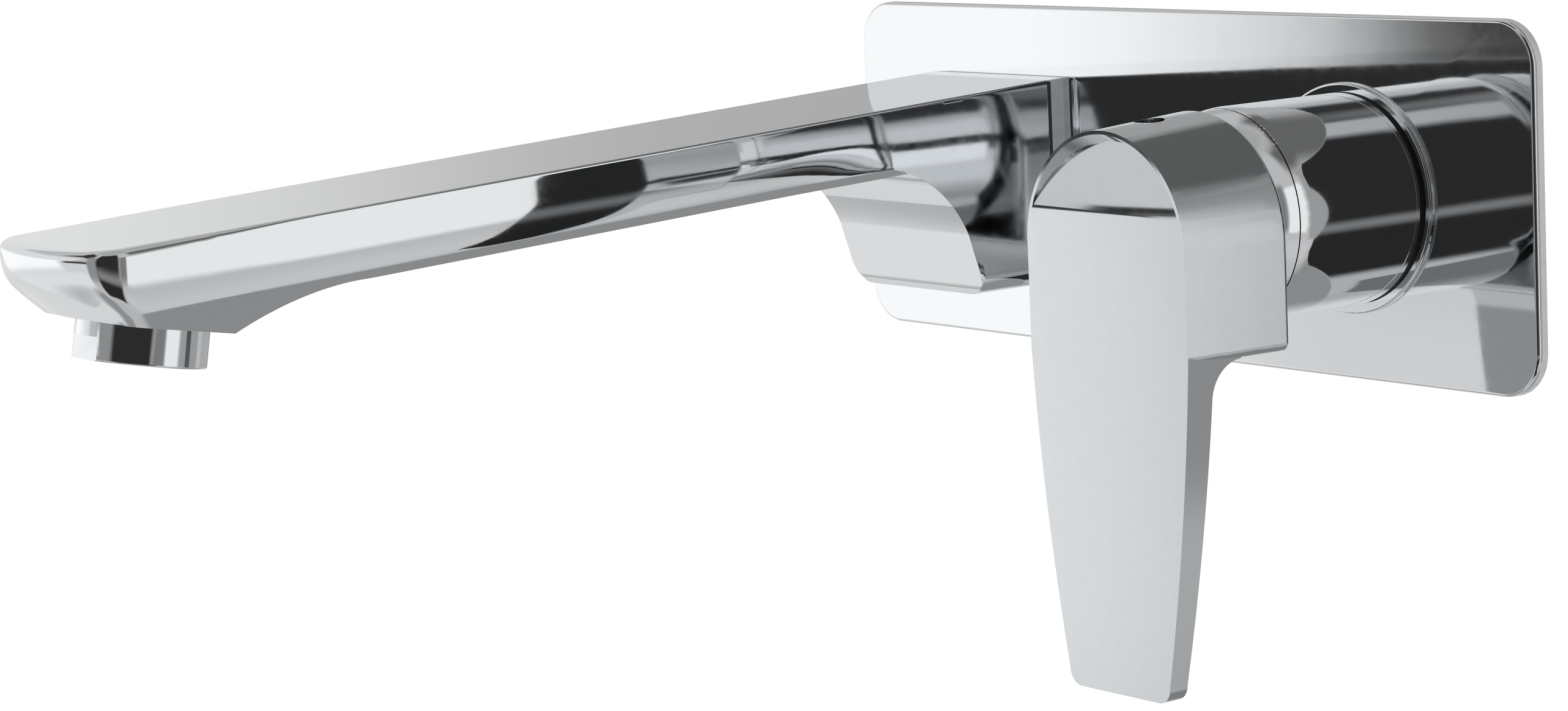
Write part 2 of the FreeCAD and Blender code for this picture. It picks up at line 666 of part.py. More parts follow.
# ---------------------------------------------------------------- cartridge
def make_cartridge():
    ports = [(-inlet_port_x, inlet_port_z), (inlet_port_x, inlet_port_z), (0, outlet_port_z)]
    base = rod(valve_x, 0, cartridge_radius, base_top_y, seat_y)
    fixed = rod(valve_x, 0, housing_inner - sliding, fixed_disc_top, base_top_y)
    seal_radius = port_radius + port_ring_section + sliding
    seals = []
    for side, height in ports:
        x = valve_x + side
        base = base.cut(rod(x, height, port_radius, seat_y + cut_past, base_top_y - cut_past))
        base = base.cut(rod(x, height, seal_radius + port_ring_section,
                            seat_y - 2 * port_ring_section, seat_y + cut_past))
        fixed = fixed.cut(rod(x, height, port_radius - fixed_port_step, base_top_y + cut_past,
                              fixed_disc_top - cut_past))
        seals.append(ring(x, height, seat_y - port_ring_section, seal_radius, port_ring_section))
    parts["cartridge_base"] = base
    parts["cartridge_port_seals"] = Part.makeCompound(seals)
    parts["fixed_ceramic_disc"] = fixed

    moving = rod(valve_x, 0, moving_disc_radius, moving_disc_top, moving_disc_bottom)
    mixing = rod(valve_x, 0, moving_disc_radius - mixing_recess_wall,
                 moving_disc_bottom - mixing_recess_depth, moving_disc_bottom + cut_past)
    parts["moving_ceramic_disc"] = moving.cut(mixing)

    carrier = rod(valve_x, 0, moving_disc_radius, carrier_disc_top, moving_disc_top)
    carrier_top = ball_y + carrier_past_ball
    carrier = carrier.fuse(block((valve_x - carrier_half, valve_x + carrier_half),
                                 (carrier_top, carrier_disc_top),
                                 (-carrier_half, carrier_half)))
    ball_socket = rod(valve_x, 0, stem_ball_radius + assembly, carrier_top - cut_past,
                      ball_y + stem_ball_radius + ball_socket_floor)
    parts["disc_carrier"] = carrier.cut(ball_socket)

    housing = rod(valve_x, 0, cartridge_radius, housing_end, base_top_y)
    base_past = base_top_y + cut_past
    housing = housing.cut(rod(valve_x, 0, housing_inner, housing_end + housing_lip, base_past))
    housing = housing.cut(rod(valve_x, 0, turret_neck_radius + sliding, housing_end - cut_past,
                              base_past))
    parts["cartridge_housing"] = housing

    turret = rod(valve_x, 0, housing_inner - sliding, turret_top, turret_bottom)
    turret = turret.fuse(rod(valve_x, 0, turret_neck_radius, turret_neck_end, turret_top))
    pocket_x = carrier_half + sliding
    pocket_z = carrier_half + disc_travel + assembly
    pocket_top = pivot_y + stem_barrel_radius
    turret = turret.cut(block((valve_x - pocket_x, valve_x + pocket_x),
                              (pocket_top, turret_bottom + cut_past), (-pocket_z, pocket_z)))
    slot_x = stem_side / 2 + sliding
    slot_z = stem_side
    turret = turret.cut(block((valve_x - slot_x, valve_x + slot_x),
                              (turret_neck_end - cut_past, pocket_top + cut_past),
                              (-slot_z, slot_z)))
    pin_reach = turret_neck_radius - pin_from_neck
    turret = turret.cut(bar(pivot_y, 0, pin_radius, valve_x - cartridge_radius,
                            valve_x + cartridge_radius))
    parts["turret"] = turret
    parts["stem_pin"] = bar(pivot_y, 0, pin_radius, valve_x - pin_reach, valve_x + pin_reach)

    half = stem_side / 2
    stem = block((valve_x - half, valve_x + half), (stem_end, pivot_y), (-half, half))
    stem = stem.fuse(bar(pivot_y, 0, stem_barrel_radius, valve_x - half, valve_x + half))
    stem = stem.fuse(rod(valve_x, 0, stem_tail_radius, pivot_y, ball_y))
    stem = stem.fuse(Part.makeSphere(stem_ball_radius, at(valve_x, ball_y, 0)))
    stem = stem.cut(bar(pivot_y, 0, pin_radius + running, valve_x - stem_side,
                        valve_x + stem_side))
    parts["stem"] = stem.removeSplitter()

    nut_end = housing_end - nut_length
    nut = tube(valve_x, 0, nut_radius, turret_neck_radius + assembly, nut_end, housing_end)
    notches = []
    for index in range(nut_notches):
        notch = block((valve_x - nut_notch_width / 2, valve_x + nut_notch_width / 2),
                      (nut_end - cut_past, nut_end + nut_notch_length),
                      (nut_radius - nut_notch_depth, nut_radius + cut_past))
        notch.rotate(at(valve_x, 0, 0), Y_AXIS, 360 / nut_notches * index)
        notches.append(notch)
    parts["cartridge_nut"] = nut.cut(notches)


# ---------------------------------------------------------------- sleeve, dome, collar, seam seal
def make_sleeve():
    collar = tube(valve_x, 0, collar_radius, neck_radius + assembly,
                  plate_front - collar_thickness, plate_front)
    outer = [edge for edge in edges_on_plane(collar, plate_front - collar_thickness)
             if edge.BoundBox.XLength > 2 * neck_radius + 2 * collar_thickness]
    parts["valve_collar"] = collar.makeFillet(collar_edge_radius, outer)

    seal_back = plate_front - collar_thickness
    sleeve_back = seal_back - seam_seal_thickness
    parts["sleeve_seal"] = tube(valve_x, 0, sleeve_radius - seam_seal_inset,
                                neck_radius + assembly, sleeve_back, seal_back)

    # the sleeve's shoulder and the dome share one sphere about the lever's pivot
    ball = Part.makeSphere(sleeve_radius, pivot)
    envelope = rod(valve_x, 0, sleeve_radius, pivot_y, sleeve_back).fuse(ball)
    sleeve_front = dome_seam_y + seam_gap
    sleeve = envelope.common(rod(valve_x, 0, 2 * sleeve_radius, sleeve_front, sleeve_back))
    parts["sleeve"] = sleeve.cut(rod(valve_x, 0, sleeve_inner, sleeve_front - cut_past,
                                     sleeve_back + cut_past))

    inner_ball = Part.makeSphere(sleeve_radius - dome_wall, pivot)
    dome = ball.cut(inner_ball).common(rod(valve_x, 0, 2 * sleeve_radius, dome_end, dome_seam_y))
    skirt_radius = sleeve_inner - sliding
    skirt = tube(valve_x, 0, skirt_radius, skirt_radius - skirt_wall, dome_seam_y,
                 dome_seam_y + skirt_length)
    land = tube(valve_x, 0, skirt_radius, skirt_radius - skirt_wall, dome_seam_y - skirt_land,
                dome_seam_y)
    parts["dome"] = dome.fuse([skirt, land]).removeSplitter()


# ---------------------------------------------------------------- handle
def hub_outline(radius, inset, bottom, y):
    """The hub's outline at this y: a round head on straight cheeks and a flat foot."""
    r = radius - inset
    low = bottom + inset
    corner = hub_corner_radius
    cx, cz = valve_x, hub_centre_z
    k = corner * (1 - math.sqrt(0.5))
    edges = [arc(at(cx - r, y, cz), at(cx, y, cz + r), at(cx + r, y, cz)),
             line(at(cx + r, y, cz), at(cx + r, y, low + corner)),
             arc(at(cx + r, y, low + corner), at(cx + r - k, y, low + k),
                 at(cx + r - corner, y, low)),
             line(at(cx + r - corner, y, low), at(cx - r + corner, y, low)),
             arc(at(cx - r + corner, y, low), at(cx - r + k, y, low + k),
                 at(cx - r, y, low + corner)),
             line(at(cx - r, y, low + corner), at(cx - r, y, cz))]
    return Part.Wire(edges)


def hub_radius_at(y):
    share = (y - handle_front) / (handle_back - handle_front)
    return hub_front_radius + share * (hub_back_radius - hub_front_radius)


def make_handle():
    hub = Part.makeLoft([hub_outline(hub_front_radius, 0, hub_bottom, handle_front),
                         hub_outline(hub_back_radius, 0, hub_bottom, handle_back)], True, True)
    hub = hub.makeFillet(hub_edge_radius, edges_on_plane(hub, handle_back))

    # the blade: cheeks that bow a little and close in towards its end
    root = hub_bottom + hub_overlap
    top_half = hub_front_radius
    middle_z = (hub_bottom + blade_end) / 2
    middle_half = (top_half + blade_end_half_width) / 2 + blade_edge_bow
    corner = blade_corner_radius
    low = blade_end
    k = corner * (1 - math.sqrt(0.5))
    y = handle_front
    cx = valve_x
    end_half = blade_end_half_width
    right = arc(at(cx + top_half, y, hub_bottom), at(cx + middle_half, y, middle_z),
                at(cx + end_half, y, low + corner))
    left = arc(at(cx - end_half, y, low + corner), at(cx - middle_half, y, middle_z),
               at(cx - top_half, y, hub_bottom))
    outline = [line(at(cx - top_half, y, root), at(cx + top_half, y, root)),
               line(at(cx + top_half, y, root), at(cx + top_half, y, hub_bottom)),
               right,
               arc(at(cx + end_half, y, low + corner), at(cx + end_half - k, y, low + k),
                   at(cx + end_half - corner, y, low)),
               line(at(cx + end_half - corner, y, low), at(cx - end_half + corner, y, low)),
               arc(at(cx - end_half + corner, y, low), at(cx - end_half + k, y, low + k),
                   at(cx - end_half, y, low + corner)),
               left,
               line(at(cx - top_half, y, hub_bottom), at(cx - top_half, y, root))]
    back_top = handle_front + blade_top_thickness
    back_end = handle_front + blade_end_thickness
    fillet_z = hub_bottom - blade_fillet
    slab = Part.Face(Part.Wire(outline)).extrude(at(0, handle_back - handle_front, 0))
    k = blade_fillet * (1 - math.sqrt(0.5))
    profile = side_profile([(handle_front, root), (handle_front, blade_end), (back_end, blade_end),
                            (back_top, fillet_z),
                            (back_top + k, hub_bottom - k, back_top + blade_fillet, hub_bottom),
                            (back_top + blade_fillet, root)],
                           2 * hub_back_radius, valve_x)
    handle = hub.fuse(slab.common(profile)).removeSplitter()

    # hollow back, with a boss and a rib to the crown for the screw
    cavity_front = handle_front + recess_depth + hub_front_wall
    cavity = Part.makeLoft([hub_outline(hub_radius_at(cavity_front), hub_wall, hub_bottom,
                                        cavity_front),
                            hub_outline(hub_back_radius, hub_wall, hub_bottom,
                                        handle_back + hub_edge_radius)], True, True)
    handle = handle.cut(cavity)
    boss = rod(valve_x, 0, boss_radius, cavity_front - cut_past, rib_back)
    crown = hub_centre_z + hub_front_radius - hub_wall
    rib = block((valve_x - rib_half_width, valve_x + rib_half_width),
                (cavity_front - cut_past, rib_back), (0, crown))
    handle = handle.fuse([boss, rib])
    half = stem_side / 2 + running
    socket = block((valve_x - half, valve_x + half),
                   (stem_end - assembly, rib_back + cut_past), (-half, half))
    screw_bottom = stem_side / 2 + running
    tapped = post(valve_x, handle_screw_y, handle_screw_radius, 0, crown)
    well = post(valve_x, handle_screw_y, handle_screw_well_radius,
                screw_bottom + handle_screw_length, 2 * hub_back_radius)
    handle = handle.cut([socket, tapped, well])

    # the face leans back under the crown, inside a thin rim
    recess_end = handle_front + recess_depth
    rim = Part.makeLoft([hub_outline(hub_front_radius, recess_rim, hub_bottom, handle_front),
                         hub_outline(hub_front_radius, recess_rim + recess_draft, hub_bottom,
                                     recess_end)], True, True)
    crown_z = hub_centre_z + hub_front_radius
    wedge = side_profile([(handle_front, recess_start_z), (recess_end, crown_z),
                          (handle_front, crown_z)], 2 * hub_back_radius, valve_x)
    parts["handle"] = handle.cut(rim.common(wedge))

    screw = post(valve_x, handle_screw_y, handle_screw_radius, screw_bottom,
                 screw_bottom + handle_screw_length)
    key = hex_socket(at(valve_x, handle_screw_y, screw_bottom + handle_screw_length),
                     -Z_AXIS, hex_key_size, key_depth)
    parts["handle_screw"] = screw.cut(key)


make_plate()
make_spout()
make_aerator()
make_body()
make_cartridge()
make_sleeve()
make_handle()

os.makedirs("parts", exist_ok=True)
for name, shape in parts.items():
    solids = shape.Solids
    solid = solids[0] if len(solids) == 1 else Part.makeCompound(solids)
    solid.exportStep("parts/" + name + ".step")
    print(name, len(solids), "solids", round(shape.Volume / 1000, 2), "cm3", shape.isValid())
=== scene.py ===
# %% [markdown]
# A wall mounted bath faucet in polished chrome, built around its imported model.
# Every piece keeps the model's frame: metres, +Z up, the finished wall is the plane y = 0 and
# the room is at -Y. The model gives shape and place; this lesson gives the finish.

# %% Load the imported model
import json
import math

import bmesh
import bpy
from mathutils import Matrix, Vector


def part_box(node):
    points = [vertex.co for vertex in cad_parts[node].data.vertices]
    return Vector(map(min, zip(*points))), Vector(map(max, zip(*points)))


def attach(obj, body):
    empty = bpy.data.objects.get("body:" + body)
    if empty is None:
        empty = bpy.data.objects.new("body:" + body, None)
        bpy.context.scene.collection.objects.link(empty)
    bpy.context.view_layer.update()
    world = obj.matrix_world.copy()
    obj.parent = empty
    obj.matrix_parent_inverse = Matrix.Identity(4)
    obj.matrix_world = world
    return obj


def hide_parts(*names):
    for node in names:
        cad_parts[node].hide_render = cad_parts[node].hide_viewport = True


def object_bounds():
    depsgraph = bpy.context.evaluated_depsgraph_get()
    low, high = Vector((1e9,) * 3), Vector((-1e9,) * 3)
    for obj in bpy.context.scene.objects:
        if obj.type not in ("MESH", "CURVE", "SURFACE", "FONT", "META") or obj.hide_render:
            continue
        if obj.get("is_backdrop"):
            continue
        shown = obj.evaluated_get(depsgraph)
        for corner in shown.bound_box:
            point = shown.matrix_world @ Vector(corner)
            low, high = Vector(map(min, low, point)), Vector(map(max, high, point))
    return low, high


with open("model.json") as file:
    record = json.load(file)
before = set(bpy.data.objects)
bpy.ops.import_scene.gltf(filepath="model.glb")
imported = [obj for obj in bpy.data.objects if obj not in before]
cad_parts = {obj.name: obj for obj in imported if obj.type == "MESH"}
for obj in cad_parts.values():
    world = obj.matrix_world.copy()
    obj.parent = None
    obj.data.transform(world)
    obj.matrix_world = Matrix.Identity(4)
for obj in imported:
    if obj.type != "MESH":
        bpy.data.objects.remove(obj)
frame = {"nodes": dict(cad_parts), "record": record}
cad_box = [list(corner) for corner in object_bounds()]
nodes = frame["nodes"]
body_of = {node: body for body, members in frame["record"]["behaviour"]["bodies"].items()
           for node in members}
MM = 0.001
print("nodes:", len(nodes), "size:", [round(high - low, 3) for low, high in zip(*cad_box)])


# %% [markdown]
# Colours are written the way a paint chart gives them, as sRGB hex. Blender's shaders want
# linear numbers, so one function turns the one into the other.

# %% Colour helper
def linear(hex_colour):
    """sRGB hex such as 'd8dcde' as a linear RGBA tuple."""
    channels = []
    for start in (0, 2, 4):
        value = int(hex_colour[start:start + 2], 16) / 255
        channels.append(value / 12.92 if value <= 0.04045 else ((value + 0.055) / 1.055) ** 2.4)
    return (*channels, 1.0)


print("mid grey in linear:", [round(v, 3) for v in linear("808080")])


# %% [markdown]
# A node material is a graph. One small function adds a node, sets what is the same all over
# on its sockets, and links what varies. Every finish below is made with it.

# %% Node helper
def add(tree, kind, inputs=None, **settings):
    """Adds a node, sets its properties and its inputs, and links inputs given as sockets."""
    node = tree.nodes.new(kind)
    for name, value in settings.items():
        setattr(node, name, value)
    for key, value in (inputs or {}).items():
        if isinstance(value, bpy.types.NodeSocket):
            tree.links.new(value, node.inputs[key])
        else:
            node.inputs[key].default_value = value
    return node


def new_material(name):
    """An empty node material with its output node."""
    material = bpy.data.materials.new(name)
    material.use_nodes = True
    material.node_tree.nodes.clear()
    output = add(material.node_tree, "ShaderNodeOutputMaterial")
    return material, material.node_tree, output


# %% [markdown]
# Polished chrome plate is a mirror with a cool tint. What tells it from a perfect mirror is
# the buffing under the plate: the surface rolls by a few microns over 10 to 20 mm, which bends
# long reflections a little, and a fine haze of wiping marks softens highlights here and there.

# %% Polished chrome
WIPE_MARK_MM = 3.0


def chrome_plate(name, colour, roughness, haze, roll_mm, roll_depth_mm):
    """A plated mirror: the roll of its buffing is a bump, the wiping haze a spread of roughness."""
    material, tree, output = new_material(name)
    place = add(tree, "ShaderNodeTexCoord").outputs["Object"]
    roll = add(tree, "ShaderNodeTexNoise", {"Vector": place, "Scale": 1000 / roll_mm,
                                            "Detail": 1.0, "Roughness": 0.4})
    marks = add(tree, "ShaderNodeTexNoise", {"Vector": place, "Scale": 1000 / WIPE_MARK_MM,
                                             "Detail": 4.0, "Roughness": 0.6})
    spread = add(tree, "ShaderNodeMapRange", {"Value": marks.outputs["Fac"], "From Min": 0.35,
                                              "From Max": 0.75, "To Min": roughness,
                                              "To Max": roughness + haze})
    bump = add(tree, "ShaderNodeBump", {"Strength": 1.0, "Distance": roll_depth_mm * MM,
                                        "Height": roll.outputs["Fac"]})
    shader = add(tree, "ShaderNodeBsdfPrincipled",
                 {"Base Color": linear(colour), "Metallic": 1.0,
                  "Roughness": spread.outputs["Result"], "Normal": bump.outputs["Normal"]})
    tree.links.new(shader.outputs["BSDF"], output.inputs["Surface"])
    return material


polished_chrome = chrome_plate("chrome_plate_buffed", "eceef0", 0.035, 0.03, 16.0, 0.012)
lever_chrome = chrome_plate("chrome_plate_on_zinc_casting", "d3d6d8", 0.09, 0.03, 11.0, 0.004)
print("chrome finishes:", polished_chrome.name, lever_chrome.name)


# %% [markdown]
# Machined brass shows the tool: fine rings on turned faces. Cast brass between them is duller
# and grainy from the sand mould, about half a millimetre a grain, and browner in the hollows.

# %% Cast and machined brass
SAND_GRAIN_MM = 0.6
COLOUR_PATCH_MM = 14


def cast_brass():
    """Brass whose sand grain shows as a bump and whose colour changes in wide patches."""
    material, tree, output = new_material("brass_sand_cast_and_machined")
    place = add(tree, "ShaderNodeTexCoord").outputs["Object"]
    sand = add(tree, "ShaderNodeTexNoise", {"Vector": place, "Scale": 1000 / SAND_GRAIN_MM,
                                            "Detail": 3.0})
    patches = add(tree, "ShaderNodeTexNoise", {"Vector": place,
                                               "Scale": 1000 / COLOUR_PATCH_MM, "Detail": 4.0})
    colour = add(tree, "ShaderNodeMix", {"Factor": patches.outputs["Fac"]}, data_type="RGBA")
    colour.inputs["A"].default_value = linear("b08a45")
    colour.inputs["B"].default_value = linear("d7b56c")
    rough = add(tree, "ShaderNodeMapRange", {"Value": sand.outputs["Fac"], "To Min": 0.28,
                                             "To Max": 0.5})
    bump = add(tree, "ShaderNodeBump", {"Strength": 0.6, "Distance": 0.05 * MM,
                                        "Height": sand.outputs["Fac"]})
    shader = add(tree, "ShaderNodeBsdfPrincipled",
                 {"Base Color": colour.outputs["Result"], "Metallic": 1.0,
                  "Roughness": rough.outputs["Result"], "Normal": bump.outputs["Normal"]})
    tree.links.new(shader.outputs["BSDF"], output.inputs["Surface"])
    return material


brass = cast_brass()
print("brass finish:", brass.name)


# %% [markdown]
# Steel comes twice: turned stainless screws, bright with faint tool marks, and the zinc plated
# bracket, whose plating grows in blotches a few millimetres wide.

# %% Steels
def plated_steel(name, low, high, grain_mm, rough_low, rough_high):
    """Steel whose colour and roughness change together over one grain."""
    material, tree, output = new_material(name)
    place = add(tree, "ShaderNodeTexCoord").outputs["Object"]
    grain = add(tree, "ShaderNodeTexNoise", {"Vector": place, "Scale": 1000 / grain_mm,
                                             "Detail": 5.0, "Roughness": 0.65})
    colour = add(tree, "ShaderNodeMix", {"Factor": grain.outputs["Fac"]}, data_type="RGBA")
    colour.inputs["A"].default_value = linear(low)
    colour.inputs["B"].default_value = linear(high)
    rough = add(tree, "ShaderNodeMapRange", {"Value": grain.outputs["Fac"], "To Min": rough_low,
                                             "To Max": rough_high})
    shader = add(tree, "ShaderNodeBsdfPrincipled",
                 {"Base Color": colour.outputs["Result"], "Metallic": 1.0,
                  "Roughness": rough.outputs["Result"]})
    tree.links.new(shader.outputs["BSDF"], output.inputs["Surface"])
    return material


stainless = plated_steel("stainless_steel_turned", "b9bbbc", "d2d4d5", 0.8, 0.2, 0.32)
zinc_steel = plated_steel("steel_zinc_plated", "a3a8ac", "c4c9cd", 3.5, 0.25, 0.5)
print("steel finishes:", stainless.name, zinc_steel.name)


# %% [markdown]
# The seals are black moulded rubber and the pad is closed-cell foam. The cartridge's plastic is
# white acetal, and its discs are lapped alumina ceramic: hard, dense and slightly warm white.

# %% Rubber, foam, acetal and ceramic
def moulded(name, low, high, grain_mm, roughness, ior, bump_mm):
    """A moulded or lapped finish with a faint change of colour and a shallow grain."""
    material, tree, output = new_material(name)
    place = add(tree, "ShaderNodeTexCoord").outputs["Object"]
    grain = add(tree, "ShaderNodeTexNoise", {"Vector": place, "Scale": 1000 / grain_mm,
                                             "Detail": 4.0})
    colour = add(tree, "ShaderNodeMix", {"Factor": grain.outputs["Fac"]}, data_type="RGBA")
    colour.inputs["A"].default_value = linear(low)
    colour.inputs["B"].default_value = linear(high)
    bump = add(tree, "ShaderNodeBump", {"Strength": 0.5, "Distance": bump_mm * MM,
                                        "Height": grain.outputs["Fac"]})
    shader = add(tree, "ShaderNodeBsdfPrincipled",
                 {"Base Color": colour.outputs["Result"], "Roughness": roughness, "IOR": ior,
                  "Normal": bump.outputs["Normal"]})
    tree.links.new(shader.outputs["BSDF"], output.inputs["Surface"])
    return material


seal_rubber = moulded("epdm_rubber_moulded", "131314", "1c1c1d", 1.0, 0.55, 1.52, 0.02)
foam = moulded("polyethylene_foam_closed_cell", "232426", "34363a", 0.9, 0.85, 1.5, 0.12)
acetal = moulded("acetal_injection_moulded", "dededa", "e9e9e6", 2.0, 0.35, 1.48, 0.01)
ceramic = moulded("alumina_ceramic_lapped", "eeece6", "f6f4ef", 1.5, 0.15, 1.76, 0.004)
print("moulded finishes:", seal_rubber.name, foam.name, acetal.name, ceramic.name)

# %% [markdown]
# Every node of the model takes the finish of its slot. A node whose shape is right as it stands
# keeps its own mesh; only the finish in its slots is new.

# %% Give each node its finish
finish_of = {"polished_chrome": polished_chrome, "lever_chrome": lever_chrome,
             "raw_brass": brass, "stainless_steel": stainless, "zinc_steel": zinc_steel,
             "seal_rubber": seal_rubber, "foam_pad": foam, "white_plastic": acetal,
             "ceramic": ceramic}
slot_of = {entry["node"]: entry["material_slot"] for entry in frame["record"]["subparts"]}
for name, node in nodes.items():
    for slot in node.material_slots:
        slot.material = finish_of[slot_of[name]]
print("finished nodes:", len(slot_of))


# %% [markdown]
# On a mirror the smallest facet shows, so each polished piece is rebuilt from a merged copy of
# its node: flats become single faces. Where two wide flats meet at more than a few degrees the
# edge is a true crease and is marked to stay one, as at the recess in the lever's face.

# %% A merged copy of a node
FLAT = math.radians(0.35)
WELD = 0.002 * MM
FACET_AREA = 120 * MM ** 2
CREASE = math.radians(5)


def merged_copy(node_name):
    """An editable mesh of a node: doubles welded, flats joined, creases between them marked."""
    work = bmesh.new()
    work.from_mesh(nodes[node_name].data)
    bmesh.ops.remove_doubles(work, verts=work.verts, dist=WELD)
    bmesh.ops.dissolve_limit(work, angle_limit=FLAT, verts=work.verts, edges=work.edges,
                             delimit={"NORMAL"})
    for edge in work.edges:
        if len(edge.link_faces) == 2:
            areas = [face.calc_area() for face in edge.link_faces]
            edge.smooth = not (min(areas) > FACET_AREA and edge.calc_face_angle() > CREASE)
    return work


# %% [markdown]
# Sharp edges of a cast piece get the small radius that buffing leaves. The bevel makes it, and
# weighted normals keep the flats flat, so that only the narrow roll catches the light.

# %% Finish a polished piece
BEVEL_SEGMENTS = 3
WIDE_FACE_WEIGHT = 80


def finish_polished(work, piece_name, edge_mm, sharp_deg, finish):
    """Turns an edited mesh into a smooth object. Its buffed edges are those sharper than
    sharp_deg, or, without one, those that carry a bevel weight."""
    mesh = bpy.data.meshes.new(piece_name)
    work.to_mesh(mesh)
    work.free()
    mesh.materials.clear()
    mesh.materials.append(finish)
    for polygon in mesh.polygons:
        polygon.use_smooth = True
    piece = bpy.data.objects.new(piece_name, mesh)
    bpy.context.scene.collection.objects.link(piece)
    if edge_mm:
        bevel = piece.modifiers.new("buffed_edges", "BEVEL")
        bevel.width = edge_mm * MM
        bevel.segments = BEVEL_SEGMENTS
        bevel.limit_method = "WEIGHT" if sharp_deg is None else "ANGLE"
        bevel.angle_limit = math.radians(sharp_deg or 180)
        bevel.use_clamp_overlap = True
        bevel.miter_outer = "MITER_ARC"
    even = piece.modifiers.new("even_normals", "WEIGHTED_NORMAL")
    even.weight = WIDE_FACE_WEIGHT
    even.keep_sharp = True
    return piece


# %% [markdown]
# The spout is one casting: a flat bar with a bowed nose, a drafted keel under it that swells
# into the outlet boss, and a base that drops behind a hollow throat. Cutting it up as a solid
# leaves facets that a mirror shows, so its skin is laid again as a clean grid: stations run
# along the outline from the wall round the nose, and each carries one profile from the top face
# down the side, over the crease and in to the underside. The same few sizes rule both.

# %% The spout's sizes, in millimetres
spout_low, spout_high = (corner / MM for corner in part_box("spout_body"))
SPOUT_X = (spout_low.x + spout_high.x) / 2
SPOUT_HALF = (spout_high.x - spout_low.x) / 2
TIP_Y, ROOT_Y = spout_low.y, spout_high.y
TOP_FALL = math.tan(math.radians(3.0))
BAR_DEPTH = 13.8
KEEL_DEPTH = 2.0
KEEL_DRAFT = math.tan(math.radians(38.0))
NOSE_BOW = 4.0
NOSE_CORNER = 8.0
NOSE_HEIGHT = 7.4
OUTLET_Y = TIP_Y + 24.5
OUTLET_TILT = math.tan(math.radians(10.6))
BOSS_DROP = 19.7
BOSS_FRONT = OUTLET_Y - 15.0
BOSS_BACK = OUTLET_Y + 12.5
SWELL = 30.0
SWELL_BEND = (10.0, 0.42)
BASE_DEPTH = 26.0
BASE_LEAN = math.tan(math.radians(18.0))
SHIN_RISE = 0.30
THROAT_Y = ROOT_Y - 53.0
THROAT_BEND = (0.30, 0.46)
BASE_CORNER = 5.0


def top_at(y):
    """Height of the sloping top face."""
    return spout_high.z + (y - ROOT_Y) * TOP_FALL


def boss_at(y):
    """Height of the boss's lower face, square to the tilted outlet."""
    return top_at(OUTLET_Y) - BOSS_DROP - (y - OUTLET_Y) * OUTLET_TILT


print("spout:", round(TIP_Y, 1), "to", round(ROOT_Y, 1), "mm, half width", round(SPOUT_HALF, 1))

# %% [markdown]
# The underside seen from the side is lines and arcs: boss, swell, keel, throat, shin and foot.
# An arc is given by three points, as a draughtsman gives it.

# %% The underside's line
THROAT_STEPS = 40
SWELL_STEPS = 24


def arc_points(start, middle, end, steps):
    """Points on the circle through three (y, z) points, from after the start to the end."""
    (ax, ay), (bx, by), (cx, cy) = start, middle, end
    turn = 2 * (ax * (by - cy) + bx * (cy - ay) + cx * (ay - by))
    ux = ((ax * ax + ay * ay) * (by - cy) + (bx * bx + by * by) * (cy - ay)
          + (cx * cx + cy * cy) * (ay - by)) / turn
    uy = ((ax * ax + ay * ay) * (cx - bx) + (bx * bx + by * by) * (ax - cx)
          + (cx * cx + cy * cy) * (bx - ax)) / turn
    radius = math.hypot(ax - ux, ay - uy)
    first = math.atan2(ay - uy, ax - ux)
    sweep = math.atan2(cy - uy, cx - ux) - first
    sweep = (sweep + math.pi) % (2 * math.pi) - math.pi
    return [(ux + radius * math.cos(first + sweep * step / steps),
             uy + radius * math.sin(first + sweep * step / steps))
            for step in range(1, steps + 1)]


def crease_at(y):
    """Height of the crease between the bar's side and its keel."""
    return top_at(y) - BAR_DEPTH


foot_z = spout_low.z
shin_top = foot_z + SHIN_RISE * (spout_high.z - foot_z)
foot_y = ROOT_Y - BASE_DEPTH
shin_y = foot_y - (shin_top - foot_z) * BASE_LEAN
throat_z = crease_at(THROAT_Y)
throat = arc_points((THROAT_Y, throat_z),
                    (shin_y - THROAT_BEND[0] * (shin_y - THROAT_Y),
                     throat_z - THROAT_BEND[1] * (throat_z - shin_top)),
                    (shin_y, shin_top), THROAT_STEPS)
swell_y = BOSS_BACK + SWELL
swell_z = crease_at(swell_y) - KEEL_DEPTH
boss_z = boss_at(BOSS_BACK)
swell = arc_points((BOSS_BACK, boss_z),
                   (BOSS_BACK + SWELL_BEND[0], swell_z + SWELL_BEND[1] * (boss_z - swell_z)),
                   (swell_y, swell_z), SWELL_STEPS)
print("throat ends at", [round(v, 2) for v in throat[-1]],
      "swell at", [round(v, 2) for v in swell[-1]])


def along(points, y):
    """Height of a line of (y, z) points at this y."""
    for (y0, z0), (y1, z1) in zip(points, points[1:]):
        if y0 <= y <= y1:
            return z0 + (z1 - z0) * (y - y0) / max(y1 - y0, 1e-9)
    return points[0][1] if y < points[0][0] else points[-1][1]


def keel_at(y):
    """Height of the keel's or boss's underside."""
    if y <= BOSS_BACK:
        return boss_at(y)
    if y < swell_y:
        return along([(BOSS_BACK, boss_z)] + swell, y)
    return crease_at(y) - KEEL_DEPTH


# %% [markdown]
# Cut level with its top face, the bar is a rounded D. Going down, its sides draw in slowly where
# the buffing wheel eased them and fast under the crease, and its front draws in under the chin.
# A hyperbola joins two slopes softly, and its one number says how soft the turn is.

